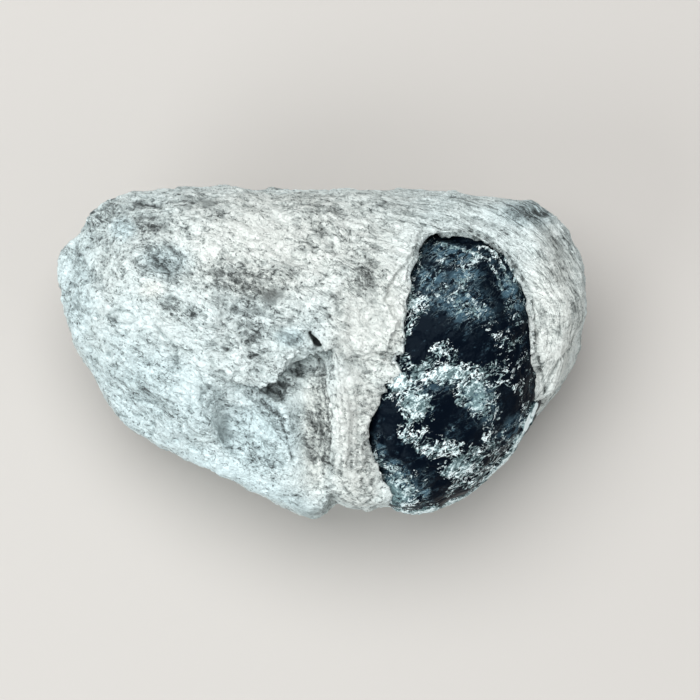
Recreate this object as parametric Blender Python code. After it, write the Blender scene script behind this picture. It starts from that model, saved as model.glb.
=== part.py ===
"""Apache tear in matrix: a rounded nodule of black obsidian in the perlite rock that it formed in.

Metres, +Z up. The stone lies on the flat of its underside, and the origin is on that surface,
under the middle of the stone. +X runs along its length, and the glass shows at its +X end.

Both pieces are shaped face-on, in a frame of their own: x to the right, y up the face and z out of
it, with the origin at the middle of the outline. The finished pieces are then tipped back by
FACE_TIP, because the stone's open face leans a little towards -Y as it lies.
"""

import math

import bmesh
import bpy
import numpy as np
from mathutils import Matrix, Vector, noise

MM = 0.001

# How the stone lies: how far its face is tipped, and where the middle of the outline comes
FACE_TIP = math.radians(10)
MIDDLE = (-0.26 * MM, -0.41 * MM, 14.1 * MM)

# The rock's outline seen face-on, in millimetres, clockwise from its upper left corner
ROCK_OUTLINE = (
    (-24.8, 21.6), (-15.9, 21.9), (-8.4, 21.7), (-1.1, 21.3), (6.4, 21.4), (13.8, 21.3),
    (21.2, 20.8), (27.6, 20.1), (32.1, 17.4), (34.1, 13.9), (35.3, 9.5), (34.9, 3.5),
    (33.6, -1.4), (31.7, -4.5), (30.2, -7.7), (28.2, -10.2), (24.7, -14.6), (20.8, -18.7),
    (16.5, -20.9), (12.8, -21.6), (8.4, -21.2), (5.4, -21.4), (3.3, -20.9), (1.7, -20.4),
    (0.9, -21.6), (-1.6, -21.9), (-3.9, -20.8), (-10.4, -17.8), (-15.9, -15.1), (-20.8, -12.9),
    (-25.8, -9.3), (-29.0, -4.9), (-31.7, -0.5), (-33.3, 3.9), (-35.0, 8.9), (-34.5, 13.9),
    (-31.3, 16.6), (-30.5, 19.1), (-28.4, 20.4),
)
ROCK_CENTRE = (0.0, 0.0)
ROCK_RISE = 11.6 * MM
ROCK_DEPTH = 15.0 * MM
ROCK_SQUARENESS = 2.6
ROCK_CUTS = 18

# Swells and hollows of the face: middle, reach along x and y, turn in degrees, height, and how
# steep the side is. All but the turn and the steepness are in millimetres.
FORMS = (
    ((-13.0, 7.5), (15.0, 8.5), -12, 4.2, 1),
    ((-28.5, 4.0), (6.0, 7.0), 0, 1.6, 1),
    ((-24.5, 13.5), (4.5, 4.5), 20, 1.2, 1),
    ((-8.0, 4.0), (8.5, 2.6), -40, -1.7, 1),
    ((-19.5, -7.0), (9.5, 2.6), -38, 1.9, 1),
    ((-10.2, -10.6), (3.6, 6.2), 32, -3.0, 2),
    ((-1.6, -10.0), (1.9, 9.5), 4, -2.2, 2),
    ((2.6, -10.5), (1.9, 12.0), 3, 2.2, 1),
    ((4.5, 8.0), (6.0, 8.0), 0, 1.3, 1),
    ((31.5, 6.0), (3.6, 10.0), 8, 2.2, 1),
    ((29.0, 18.2), (2.2, 1.6), -30, -1.6, 2),
    ((8.2, -15.0), (2.6, 6.0), 0, -1.0, 1),
)

# The lip above the two hollows, from left to right, in millimetres. The face drops below it and
# comes back over the fade. The drop tapers away over the last parts of the lip.
LIP = (
    (-10.2, -4.0), (-7.0, -4.9), (-5.8, -4.1), (-5.0, -3.2), (-3.8, -1.6), (-1.3, -0.5), (1.4, 0.4),
)
LIP_DROP = 2.6
LIP_FADE = 9.0
LIP_TAPER = 5

# The part of the face that holds the lip and the hollows has finer faces: left, right, bottom, top
FINE_PART = (-17.0, 6.0, -20.0, 4.0)
FINE_CUTS = 2

# Flat breaks that bound the rock: outward direction, and distance from the middle in millimetres
BREAKS = (
    ((0.05, 0.80, 0.60), 20.0),
    ((-0.35, 0.55, 0.76), 23.4),
    ((-0.45, -0.52, 0.73), 18.2),
    ((-0.62, 0.20, 0.76), 24.6),
    ((-0.62, -0.20, 0.76), 22.4),
    ((0.66, 0.30, 0.69), 28.0),
    ((0.10, 0.90, -0.42), 21.0),
    ((-0.42, 0.72, -0.55), 24.0),
    ((-0.78, 0.10, -0.62), 28.4),
    ((-0.62, -0.52, -0.59), 22.8),
    ((-0.10, -0.84, -0.53), 19.6),
    ((0.50, -0.62, -0.60), 24.2),
    ((0.80, -0.10, -0.59), 29.0),
    ((0.52, 0.60, -0.61), 26.6),
)
BREAK_HARDNESS = 0.94

# Lumps of the broken rock: their size, and how far they stand out on the face and below
LUMPS = ((10.0 * MM, 0.8 * MM, 1.4 * MM), (4.0 * MM, 0.5 * MM, 0.7 * MM))
LUMP_OCTAVES = 3
LUMP_FALLOFF = 1.0
LUMP_STEP = 2.0

# Rounded cells that the rock parts into: their size, how far each stands out or in, and how much
# of a cell its sloping edge takes
CELL_SIZE = 7.5 * MM
CELL_RELIEF = 0.9 * MM
CELL_EDGE = 0.5

# The nodule's outline face-on, in millimetres, clockwise from its right side. Its left and upper
# edges lie under the rock.
NODULE_OUTLINE = (
    (29.6, -3.0), (28.7, -7.8), (27.0, -11.0), (23.9, -14.3), (20.2, -17.9), (16.2, -20.2),
    (12.8, -21.1), (9.0, -20.3), (5.0, -17.3), (2.8, -12.5), (2.4, -6.5), (3.8, 0.5),
    (6.4, 7.5), (9.8, 13.2), (13.8, 16.8), (18.2, 18.0), (22.6, 16.6), (26.0, 12.8),
    (28.3, 8.0), (29.4, 2.5),
)
NODULE_CENTRE = (16.0, -1.5)
NODULE_RISE = 12.2 * MM
NODULE_DEPTH = 9.0 * MM
NODULE_SQUARENESS = 2.35
NODULE_CUTS = 10
NODULE_LUMPS = ((8.0 * MM, 0.5 * MM, 0.5 * MM), (3.4 * MM, 0.2 * MM, 0.2 * MM))

# The nodule lies free in its socket by this much
SOCKET_GAP = 0.3 * MM

# Where the face of the rock has come away from the nodule, in millimetres: down the ragged left
# edge, round inside the nodule's open side, and up the smooth right edge
WINDOW = (
    (15.4, 15.3), (13.9, 14.8), (13.0, 13.2), (12.9, 12.0), (11.9, 11.0), (11.8, 9.2), (12.0, 8.2),
    (11.1, 6.6), (11.7, 5.2), (10.9, 4.1), (11.4, 2.4), (10.9, 1.4), (11.6, 0.2), (10.3, -1.8),
    (10.9, -3.6), (8.6, -6.2), (6.9, -7.6), (6.3, -9.6), (6.5, -11.6), (7.5, -14.0),
    (8.6, -16.4), (9.5, -18.0), (10.6, -20.0), (15.8, -18.8), (23.0, -13.4), (26.4, -9.4),
    (28.4, -7.0), (28.6, -3.0), (28.0, 1.4), (27.0, 5.4), (25.6, 9.2), (23.4, 12.3),
    (20.2, 14.9), (17.8, 15.6),
)
WINDOW_FLOOR = 0.5 * MM
WINDOW_TOP = 24.0 * MM

# The nodule's open side, where the rock has broken away down to a rim under it: middle and half
# sizes in millimetres, and turns about x, y and z in degrees
OPEN_SIDE = ((21.3, -16.8, 8.0), (14.6, 6.6, 12.2), (0, 0, 33))

# A thin outer skin of the nodule is gone along its upper and right edges, which leaves a groove
GROOVE_WIDTH = 1.0 * MM
GROOVE_OUTLINE = (
    (13.8, 15.0), (16.4, 17.0), (20.8, 16.4), (25.0, 13.6), (27.6, 9.8), (29.2, 5.6),
    (29.7, 1.0), (29.6, -3.6), (28.6, -4.6), (24.0, -3.0), (15.0, 8.0),
)
GROOVE_FLOOR = 3.0 * MM

# A narrow slit at the lip's right end: middle and half sizes in millimetres, and turns in degrees
SLIT = ((-0.6, 1.4, 14.0), (1.4, 0.45, 3.6), (0, 0, -49))

EGG_CUTS = 5
EGG_LUMPS = ((3.0 * MM, 0.35 * MM, 0.35 * MM),)

PERLITE = {"colour": (0.62, 0.66, 0.65), "roughness": 0.9}
OBSIDIAN = {"colour": (0.012, 0.016, 0.024), "roughness": 0.22}


def clear_scene():
    for obj in list(bpy.data.objects):
        bpy.data.objects.remove(obj)


def new_collection(name):
    collection = bpy.data.collections.new(name)
    bpy.context.scene.collection.children.link(collection)
    return collection


def new_material(name, colour, roughness):
    material = bpy.data.materials.new(name)
    material.use_nodes = True
    shader = material.node_tree.nodes["Principled BSDF"]
    shader.inputs["Base Color"].default_value = (*colour, 1)
    shader.inputs["Roughness"].default_value = roughness
    shader.inputs["Metallic"].default_value = 0
    return material


def cube_ball(cuts):
    """A ball of radius 1 made from a cut cube, so that its faces are much alike all round."""
    ball = bmesh.new()
    bmesh.ops.create_cube(ball, size=2)
    bmesh.ops.subdivide_edges(ball, edges=ball.edges[:], cuts=cuts, use_grid_fill=True)
    for vert in ball.verts:
        even = Vector(math.tan(c * math.pi / 4) for c in vert.co)
        vert.co = even.normalized()
    return ball


def polar(outline, centre):
    """The outline's (angles, radii) about its centre, by rising angle, in metres."""
    around = []
    for x, y in outline:
        dx, dy = x - centre[0], y - centre[1]
        around.append((math.atan2(dy, dx), math.hypot(dx, dy) * MM))
    around.sort()
    return np.array(around).T


def bounded(ball, outline, centre, rise, depth, squareness):
    """Pushes the ball out to a body with this outline, its top and bottom rounded over it."""
    angles, radii = polar(outline, centre)
    wide = float(radii.max())
    for vert in ball.verts:
        height = rise if vert.co.z > 0 else depth
        way = Vector((vert.co.x * wide, vert.co.y * wide, vert.co.z * height)).normalized()
        reach = np.interp(math.atan2(way.y, way.x), angles, radii, period=2 * math.pi)
        flat = (math.hypot(way.x, way.y) / reach) ** squareness
        steep = (abs(way.z) / height) ** squareness
        vert.co = way * (flat + steep) ** (-1 / squareness)
        vert.co += Vector((centre[0], centre[1], 0)) * MM


def refine(ball):
    """Divides the faces of the FINE_PART of the face again."""
    left, right, bottom, top = (edge * MM for edge in FINE_PART)

    def inside(point):
        return left < point.x < right and bottom < point.y < top and point.z > 0

    edges = [e for e in ball.edges if all(inside(v.co) for v in e.verts)]
    bmesh.ops.subdivide_edges(ball, edges=edges, cuts=FINE_CUTS, use_grid_fill=True)


def below_lip(x, y):
    """How far the face lies below the lip's level at a point, in millimetres."""
    nearest = (math.inf, 0, 0)
    for number, ((x0, y0), (x1, y1)) in enumerate(zip(LIP, LIP[1:])):
        dx, dy = x1 - x0, y1 - y0
        along = ((x - x0) * dx + (y - y0) * dy) / (dx * dx + dy * dy)
        along = min(1, max(0, along))
        away = math.hypot(x - x0 - along * dx, y - y0 - along * dy)
        side = (x - x0) * dy - (y - y0) * dx
        nearest = min(nearest, (away, side, (number + along) / (len(LIP) - 1)))
    away, side, share = nearest
    if side <= 0 or away > LIP_FADE:
        return 0
    taper = min(1, LIP_TAPER * share, LIP_TAPER * (1 - share))
    return taper * LIP_DROP * (1 - away / LIP_FADE) ** 2


def raise_face(x, y):
    """How far the swells, hollows and lip raise a point of the face, as a share of the rise."""
    x, y = x / MM, y / MM
    total = -below_lip(x, y)
    for middle, reach, turn, height, steepness in FORMS:
        dx, dy = x - middle[0], y - middle[1]
        c, s = math.cos(math.radians(turn)), math.sin(math.radians(turn))
        along, across = dx * c + dy * s, dy * c - dx * s
        far = (along / reach[0]) ** 2 + (across / reach[1]) ** 2
        total += height * math.exp(-far**steepness)
    return 1 + total * MM / ROCK_RISE


def break_flat(vert):
    """Moves a point that lies outside a flat break most of the way back to it."""
    for direction, distance in BREAKS:
        out = Vector(direction).normalized()
        beyond = vert.co.dot(out) - distance * MM
        if beyond > 0:
            vert.co -= out * beyond * BREAK_HARDNESS


def cell_offset(point):
    """How far the rounded cell that holds this point stands out, fading to its edges."""
    distances, middles = noise.voronoi(point / CELL_SIZE)
    inside = min(1, (distances[1] - distances[0]) / CELL_EDGE)
    return CELL_RELIEF * noise.noise(middles[0] / CELL_EDGE) * inside


def roughen(ball, lumps, cells=False):
    """Raises and lowers the surface along its normals by noise of the given sizes."""
    ball.normal_update()
    moves = []
    for vert in ball.verts:
        move = cell_offset(vert.co) if cells else 0
        for size, on_face, below in lumps:
            height = on_face if vert.co.z > 0 else below
            point = vert.co / size
            move += height * noise.fractal(point, LUMP_FALLOFF, LUMP_STEP, LUMP_OCTAVES)
        moves.append((vert, vert.normal * move))
    for vert, move in moves:
        vert.co += move


def lie_down():
    """From the face-on frame to the stone as it lies."""
    return Matrix.Translation(MIDDLE) @ Matrix.Rotation(FACE_TIP, 4, "X")


def add_object(name, source, collection, material=None):
    """Turns a bmesh into an object. Its faces become triangles, which keeps Booleans exact."""
    bmesh.ops.triangulate(source, faces=source.faces[:])
    mesh = bpy.data.meshes.new(name)
    source.to_mesh(mesh)
    source.free()
    if material:
        mesh.materials.append(material)
        mesh.shade_smooth()
    obj = bpy.data.objects.new(name, mesh)
    collection.objects.link(obj)
    return obj


def make_cutter(obj):
    obj.hide_render = True
    obj.display_type = "WIRE"


def cut(obj, cutter):
    modifier = obj.modifiers.new(cutter.name, "BOOLEAN")
    modifier.operation = "DIFFERENCE"
    modifier.object = cutter


def rock_body(collection, material):
    """The rock before its socket and hollows are cut, with its underside sliced flat."""
    ball = cube_ball(ROCK_CUTS)
    bounded(ball, ROCK_OUTLINE, ROCK_CENTRE, ROCK_RISE, ROCK_DEPTH, ROCK_SQUARENESS)
    refine(ball)
    for vert in ball.verts:
        break_flat(vert)
    roughen(ball, LUMPS, cells=True)
    for vert in ball.verts:
        if vert.co.z > 0:
            vert.co.z *= raise_face(vert.co.x, vert.co.y)
    ball.transform(lie_down())
    everything = ball.verts[:] + ball.edges[:] + ball.faces[:]
    sliced = bmesh.ops.bisect_plane(
        ball, geom=everything, plane_co=(0, 0, 0), plane_no=(0, 0, 1), clear_inner=True
    )
    rim = [e for e in sliced["geom_cut"] if isinstance(e, bmesh.types.BMEdge)]
    bmesh.ops.holes_fill(ball, edges=rim, sides=0)
    bmesh.ops.recalc_face_normals(ball, faces=ball.faces[:])
    return add_object("perlite_matrix", ball, collection, material)


def nodule_ball(grown):
    """The nodule's surface, moved out by the given distance."""
    ball = cube_ball(NODULE_CUTS)
    bounded(
        ball, NODULE_OUTLINE, NODULE_CENTRE, NODULE_RISE, NODULE_DEPTH, NODULE_SQUARENESS
    )
    roughen(ball, NODULE_LUMPS)
    ball.normal_update()
    for vert, normal in [(v, v.normal.copy()) for v in ball.verts]:
        vert.co += normal * grown
    ball.transform(lie_down())
    return ball


def prism(name, outline, floor, top, collection):
    """A flat outline raised between two heights of the face-on frame, as a mesh."""
    curve = bpy.data.curves.new(name, "CURVE")
    curve.dimensions = "2D"
    curve.fill_mode = "BOTH"
    curve.extrude = (top - floor) / 2
    spline = curve.splines.new("POLY")
    spline.points.add(len(outline) - 1)
    for point, (x, y) in zip(spline.points, outline):
        point.co = (x * MM, y * MM, 0, 1)
    spline.use_cyclic_u = True
    drawn = bpy.data.objects.new(name + "_curve", curve)
    collection.objects.link(drawn)
    graph = bpy.context.evaluated_depsgraph_get()
    mesh = bpy.data.meshes.new_from_object(drawn.evaluated_get(graph))
    bpy.data.objects.remove(drawn)
    solid = bmesh.new()
    solid.from_mesh(mesh)
    bmesh.ops.remove_doubles(solid, verts=solid.verts[:], dist=0.001 * MM)
    bmesh.ops.recalc_face_normals(solid, faces=solid.faces[:])
    if solid.calc_volume(signed=True) < 0:
        bmesh.ops.reverse_faces(solid, faces=solid.faces[:])
    solid.transform(lie_down() @ Matrix.Translation((0, 0, (top + floor) / 2)))
    return add_object(name, solid, collection)


def egg(name, middle, half_sizes, turns, collection):
    """An egg-shaped cutter with a lumpy surface, for one hollow."""
    ball = cube_ball(EGG_CUTS)
    ball.transform(Matrix.Diagonal((*(half * MM for half in half_sizes), 1)))
    place = Matrix.Translation(Vector(middle) * MM)
    for axis, turn in zip("XYZ", turns):
        place = place @ Matrix.Rotation(math.radians(turn), 4, axis)
    ball.transform(place)
    roughen(ball, EGG_LUMPS)
    ball.transform(lie_down())
    return add_object(name, ball, collection)


def groove_cutter(collection):
    """The nodule's lost skin, kept only along its upper and right edges."""
    skin = add_object("groove", nodule_ball(SOCKET_GAP + GROOVE_WIDTH), collection)
    keep = prism("groove_keep", GROOVE_OUTLINE, GROOVE_FLOOR, WINDOW_TOP, collection)
    modifier = skin.modifiers.new("keep", "BOOLEAN")
    modifier.operation = "INTERSECT"
    modifier.object = keep
    make_cutter(keep)
    return skin


def main():
    clear_scene()
    pieces = new_collection("apache_tear_in_matrix")
    cutters = new_collection("cutters")
    rock = rock_body(pieces, new_material("perlite", **PERLITE))
    add_object("obsidian_nodule", nodule_ball(0), pieces, new_material("obsidian", **OBSIDIAN))

    tools = [prism("window", WINDOW, WINDOW_FLOOR, WINDOW_TOP, cutters)]
    tools.append(egg("open_side", *OPEN_SIDE, cutters))
    tools.append(groove_cutter(cutters))
    tools.append(egg("slit", *SLIT, cutters))
    tools.append(add_object("socket", nodule_ball(SOCKET_GAP), cutters))
    for tool in tools:
        make_cutter(tool)
        cut(rock, tool)


main()
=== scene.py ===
"""Apache tear in matrix: the finished surfaces of the stone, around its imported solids.

Metres, +Z up, in the frame of the solids. Each solid is remeshed, its fine relief is raised point
by point, and masks say how much of each finish a point has.

The photograph looks straight down on the stone's face, so a feature is placed by the pixel where it
shows, and its reach is in pixels too. Heights are in millimetres. Places is what finds the pixels.
"""

import copy
import itertools
import math

import bmesh
import bpy
import numpy as np
from mathutils import Matrix, Vector

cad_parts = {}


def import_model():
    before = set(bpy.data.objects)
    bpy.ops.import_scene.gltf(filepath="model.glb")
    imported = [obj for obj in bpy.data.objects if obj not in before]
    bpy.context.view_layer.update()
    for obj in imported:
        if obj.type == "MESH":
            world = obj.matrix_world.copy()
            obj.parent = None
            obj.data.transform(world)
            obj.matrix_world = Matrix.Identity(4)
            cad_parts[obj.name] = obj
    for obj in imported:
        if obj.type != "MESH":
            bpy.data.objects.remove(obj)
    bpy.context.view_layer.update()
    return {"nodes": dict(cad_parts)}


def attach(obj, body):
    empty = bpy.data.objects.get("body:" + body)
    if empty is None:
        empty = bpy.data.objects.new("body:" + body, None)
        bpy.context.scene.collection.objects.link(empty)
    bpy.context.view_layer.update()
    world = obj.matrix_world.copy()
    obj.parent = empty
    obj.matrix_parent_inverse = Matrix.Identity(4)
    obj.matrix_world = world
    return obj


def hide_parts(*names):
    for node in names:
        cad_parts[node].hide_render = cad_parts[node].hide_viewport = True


MM = 0.001

# The face-on frame of the stone: how far its face is tipped, and where its middle is
FACE_TIP = math.radians(10)
MIDDLE = (-0.26 * MM, -0.41 * MM, 14.1 * MM)

# The photograph: its size, the pixel where the face's middle shows, and how many pixels 1 mm takes
PHOTO_SIZE = 700
MIDDLE_PIXEL = (320, 352)
PIXELS_PER_MM = 7.6

# Meshes: size of the first even faces, rounds of smoothing, the heights over the floor from which
# faces are in view and up to which points stay on the floor, and how close points are merged
ROCK_VOXEL = 0.56 * MM
ROCK_SMOOTHING = 3
NODULE_VOXEL = 0.54 * MM
NODULE_SMOOTHING = 6
VIEW_HEIGHT = 11.5 * MM
FOOT_HEIGHT = 0.15 * MM
MERGE_DISTANCE = 0.001 * MM

# Patches, each an oval: x and y of its middle, its half width and half height, its turn in degrees
# clockwise, and its strength. These are where the rock is greyer or paler, and warmer or cooler
# Greyer patches are partly the rock's grey tone and partly painted shade: under the lip, in the
# crease beside the upright ridge and on the left wall of the hollow
GREYER_AND_SHADED = (
    (100, 215, 22, 14, -20, 0.22), (157, 205, 9, 4, 0, 0.4), (141, 205, 6, 3, 0, 0.28),
    (193, 200, 11, 4, 0, 0.26), (209, 203, 8, 6, 0, 0.28), (224, 216, 5, 3, 0, 0.32),
    (163, 229, 20, 10, 0, 0.24), (170, 262, 23, 14, 0, 0.22), (146, 273, 8, 7, 0, 0.26),
    (93, 279, 7, 6, 0, 0.36), (78, 263, 3, 12, 0, 0.26), (75, 312, 11, 30, 0, 0.22),
    (180, 308, 25, 8, 20, 0.28), (264, 276, 36, 14, 5, 0.26), (273, 297, 16, 9, 0, 0.34),
    (227, 298, 24, 18, 20, 0.2), (250, 323, 14, 18, 0, 0.26), (257, 338, 7, 6, 0, 0.3),
    (230, 344, 8, 7, 0, 0.3), (212, 343, 6, 3, 0, 0.26), (267, 353, 15, 5, -10, 0.26),
    (291, 338, 10, 7, 0, 0.2), (175, 353, 5, 14, -30, 0.22), (316, 239, 6, 6, 0, 0.28),
    (321, 225, 8, 14, 0, 0.22), (259, 371, 6, 6, 0, 0.3), (90, 360, 6, 5, 0, 0.26),
    (146, 386, 26, 14, 0, 0.12), (317, 430, 11, 44, 0, 0.34), (302, 372, 20, 15, 0, 0.18),
    (268, 392, 15, 4, 14, 0.4), (283, 389, 9, 11, 30, 0.32), (226, 425, 7, 24, -14, 0.32),
    (308, 508, 17, 10, 0, 0.24), (363, 281, 13, 12, 0, 0.3), (337, 327, 8, 8, 0, 0.16),
    (352, 359, 10, 6, 0, 0.2), (367, 480, 5, 11, 0, 0.2), (371, 453, 5, 15, 0, 0.24),
    (463, 200, 15, 6, 0, 0.2), (526, 212, 26, 13, 8, 0.27), (541, 212, 9, 3, 8, 0.55),
    (564, 240, 11, 8, 0, 0.3), (573, 304, 4, 16, 0, 0.26), (557, 373, 17, 12, -25, 0.06),
    (262, 432, 24, 26, 0, 0.1), (118, 318, 5, 4, 0, 0.32), (345, 209, 40, 8, 4, 0.12),
    (560, 262, 14, 20, 30, 0.1), (541, 320, 5, 10, 0, 0.22), (548, 344, 5, 9, 0, 0.2),
    (557, 334, 4, 14, 10, 0.24), (549, 302, 11, 4, -20, 0.2), (562, 384, 10, 24, 32, 0.12),
    (555, 282, 16, 5, 20, 0.18), (150, 216, 60, 22, 0, 0.06), (425, 208, 90, 12, 3, 0.06),
    (265, 284, 52, 28, 5, 0.05),
)

PALER = (
    (214, 253, 8, 11, 0, 0.4), (258, 239, 38, 22, 0, 0.26), (280, 217, 12, 6, 0, 0.26),
    (316, 276, 13, 18, 0, 0.24), (187, 294, 42, 6, 3, 0.2), (150, 325, 62, 8, 17, 0.26),
    (130, 350, 45, 18, 10, 0.2), (211, 360, 34, 9, 3, 0.26), (190, 388, 14, 16, 0, 0.26),
    (238, 478, 72, 12, 31, 0.32), (304, 397, 12, 8, 10, 0.34), (344, 424, 10, 62, 0, 0.28),
    (368, 322, 26, 30, 0, 0.06), (255, 372, 26, 9, 5, 0.24), (150, 215, 18, 3, 0, 0.16),
    (97, 255, 12, 8, 20, 0.2), (400, 262, 14, 30, 15, 0.3), (398, 325, 10, 30, -10, 0.28),
    (500, 222, 34, 5, 14, 0.18), (531, 340, 5, 60, -4, 0.22), (553, 325, 12, 40, 0, 0.07),
    (288, 296, 18, 4, -50, 0.26), (300, 477, 16, 24, -10, 0.18), (210, 458, 24, 10, 30, 0.22),
    (560, 370, 26, 34, -25, 0.3), (84, 330, 24, 55, -15, 0.22), (361, 498, 22, 16, 0, 0.03),
    (305, 500, 20, 14, 0, 0.08),
)

# Warmer and cooler patches are partly the rock's own tint and partly painted tint of light: cool
# light on the lower left flank and the hollow's floor, warm light on the top and the right
WARMER_AND_WARM_LIT = (
    (290, 240, 110, 50, 0, 0.8), (264, 280, 40, 18, 0, 0.9), (372, 320, 40, 70, 0, 0.9),
    (360, 430, 26, 80, 0, 0.9), (317, 430, 12, 50, 0, 1), (555, 330, 30, 80, 0, 0.8),
    (155, 290, 12, 8, 0, 0.7),
)

COOLER_AND_COOL_LIT = (
    (150, 400, 95, 55, 25, 0.6), (255, 440, 40, 40, 0, 0.9), (240, 480, 75, 22, 30, 0.8),
    (125, 230, 11, 10, 0, 1), (170, 262, 23, 14, 0, 0.8), (291, 338, 12, 8, 0, 0.8),
    (528, 212, 26, 13, 0, 0.7), (75, 300, 20, 60, 0, 0.6),
)

# Where the rock breaks smooth, without specks
SMOOTH = (
    (275, 298, 13, 8, 0, 1), (209, 203, 8, 6, 0, 1), (304, 397, 11, 7, 10, 0.9),
    (190, 388, 12, 14, 0, 0.8), (557, 373, 17, 12, -25, 0.9), (370, 318, 20, 26, 0, 0.6),
    (531, 330, 5, 60, -4, 1), (308, 508, 17, 10, 0, 0.7), (150, 325, 60, 7, 17, 0.7),
    (225, 425, 7, 22, -14, 0.8), (300, 470, 12, 20, -10, 0.5), (280, 217, 12, 6, 0, 0.8),
)

# Where the rock's finest faces go: at the lip, the crease, the slit, the almond-shaped stain, a
# long crack and the shell's edge
FINEST = (
    (284, 375, 52, 26, -10, 1), (324, 410, 12, 60, 0, 1), (316, 341, 12, 14, 0, 1),
    (125, 318, 24, 12, 0, 1), (170, 346, 18, 30, -20, 1), (395, 300, 16, 62, 10, 1),
)

# Swells of the rock, and dents where the strength is below 0, in millimetres
SWELLS = (
    (308, 507, 15, 11, 0, 0.5), (361, 500, 20, 14, 0, 0.45), (333, 505, 4, 10, 0, -0.8),
    (273, 297, 14, 8, 0, -0.3), (226, 425, 7, 26, -14, -0.25), (304, 397, 12, 8, 10, 0.35),
    (541, 213, 9, 4, 8, -0.6), (170, 262, 20, 12, 0, -0.25), (93, 279, 7, 6, 0, -0.35),
    (157, 206, 9, 4, 0, -0.35), (257, 338, 7, 6, 0, -0.35), (230, 344, 8, 7, 0, -0.35),
    (259, 371, 6, 6, 0, -0.4), (214, 253, 8, 11, 0, 0.25), (363, 281, 13, 12, 0, -0.2),
    (118, 318, 5, 4, 0, -0.25), (180, 308, 24, 5, 20, -0.3), (281, 394, 14, 6, 28, -0.5),
)

# Where the rock's sides are moved to the photograph's outline, in millimetres: out above 0 and in
# below 0, and how many rounds spread these amounts over the surface
TRIMS = (
    (270, 180, 26, 14, 0, -0.8), (200, 186, 70, 12, 0, -0.35), (345, 185, 24, 12, 0, -0.25),
    (402, 183, 24, 14, 0, -0.75), (455, 187, 20, 12, 0, -0.55), (584, 255, 14, 36, 0, -0.3),
    (584, 352, 16, 26, 10, -1), (563, 398, 18, 26, 35, -1.1), (492, 474, 34, 22, -42, -1.5),
    (405, 520, 26, 20, 0, -1.5), (272, 512, 26, 14, 20, -0.95), (205, 478, 40, 12, 25, -0.35),
    (64, 338, 12, 26, -15, -0.6), (94, 204, 18, 14, -35, 0.65), (66, 240, 14, 14, -40, 0.4),
    (530, 432, 26, 22, -50, -1.5), (334, 513, 6, 12, 0, -1),
)
TRIM_ROUNDS = 12

# Rims of the window, moved in over the nodule one after the other: the line, with the window on
# the right of its travel, how many millimetres the rim moves, and how many more the steep wall
RIMS = (
    (
        (
            (440, 225), (462, 224), (481, 229), (500, 240), (513, 252), (530, 278), (542, 309),
            (546, 344), (545, 380), (541, 406),
        ),
        0.60, 0.90,
    ),
    (((531, 308), (535, 328), (537, 348), (537, 366)), 0.60, 0.10),
    (((374, 408), (385, 389), (391, 374), (387, 364)), 0.95, 0.0),
)
NODULE_MIDDLE = (455, 372)

# Where the rim runs out thin, and how many rounds even out its points there
THIN_RIM = (534, 427, 15, 15, 0, 1)
THIN_ROUNDS = 12

# Lines of the rock: the slit, the stepped edge of the shell left of the nodule, the crease at the
# foot of the upright ridge, the lip over the hollow, cracks, and where layers end at the window
SLIT = ((310, 334), (314, 340), (318, 345))
SHELL_EDGE = (
    (413, 245), (404, 263), (385, 287), (383, 304), (395, 321), (387, 350), (364, 354), (354, 347),
)
CREASE = ((321, 359), (324, 394), (328, 417), (328, 445), (326, 472))
LIP = ((243, 384), (267, 389), (276, 382), (282, 375), (291, 364), (310, 356), (323, 352))
CRACKS = (
    ((158, 326), (166, 336), (180, 350), (178, 366)),
    ((203, 387), (204, 403)),
    ((110, 317), (119, 311), (131, 312), (141, 320), (133, 325), (119, 324), (110, 317)),
    ((533, 345), (539, 372), (545, 392), (550, 406)),
    ((576, 348), (560, 361), (549, 378), (544, 394)),
    ((252, 357), (262, 353), (272, 349)),
    ((262, 401), (280, 416), (287, 436), (294, 458)),
    ((136, 203), (150, 204), (162, 208)),
    ((176, 299), (192, 305), (203, 312)),
    ((316, 342), (320, 347), (325, 354), (322, 362)),
)
LAYER_ENDS = (
    ((468, 231), (485, 239), (502, 253), (518, 273)),
    ((462, 236), (478, 243), (492, 252), (503, 262)),
    ((520, 276), (529, 300), (534, 330), (539, 372)),
)

# Patches of fibres on the ridge, and of scales beside it
FIBRES = (336, 424, 24, 74, 0, 1)
SCALES = (368, 380, 14, 28, 0, 1)

# Bands that sweep along the stone's top and down its right end: the middle and reach of their
# ovals, which the stone's outline roughly follows too
FLOW_MIDDLE = (330, 372)
FLOW_REACH = (215, 165)

# The rock's grain, and the streaks in the nodule's crust, turned from the stone's length
GRAIN_TURN = math.radians(28)
STREAK_TURN = math.radians(-35)

# The nodule's left edge, and the left, right, top and bottom of the window that it shows in
NODULE_LEFT_EDGE = (
    (420, 240), (412, 265), (409, 300), (405, 340), (410, 350), (400, 368), (403, 380), (384, 403),
    (372, 412), (369, 430), (373, 450), (380, 470), (392, 490), (400, 510),
)
NODULE_BOX = (362, 550, 226, 524)

# Lines of the nodule: the dark capsule at its top, the pale skin under that, the pale skin along
# its lower edge, and slivers of rock beside the capsule
CAPSULE = ((441, 236), (458, 240), (474, 245))
CAPSULE_SKIN = ((436, 243), (452, 247), (470, 253), (486, 262), (496, 276), (501, 290))
SKIN_EDGE = (
    (534, 404), (523, 424), (509, 452), (482, 481), (464, 497), (443, 506), (410, 511), (385, 508),
)
SLIVERS = (
    ((462, 236), (480, 242), (496, 252), (508, 267), (515, 282)),
    ((455, 241), (474, 247), (490, 257), (501, 270), (508, 288)),
)

# Where the nodule stands out further, in millimetres: under the slivers, and along its lower edge
NODULE_SWELLS = (
    (490, 252, 36, 10, 38, 0.7), (512, 444, 28, 16, -48, 0.25), (470, 490, 28, 14, -36, 0.15),
    (408, 506, 28, 10, 0, 0.2),
)
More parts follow.
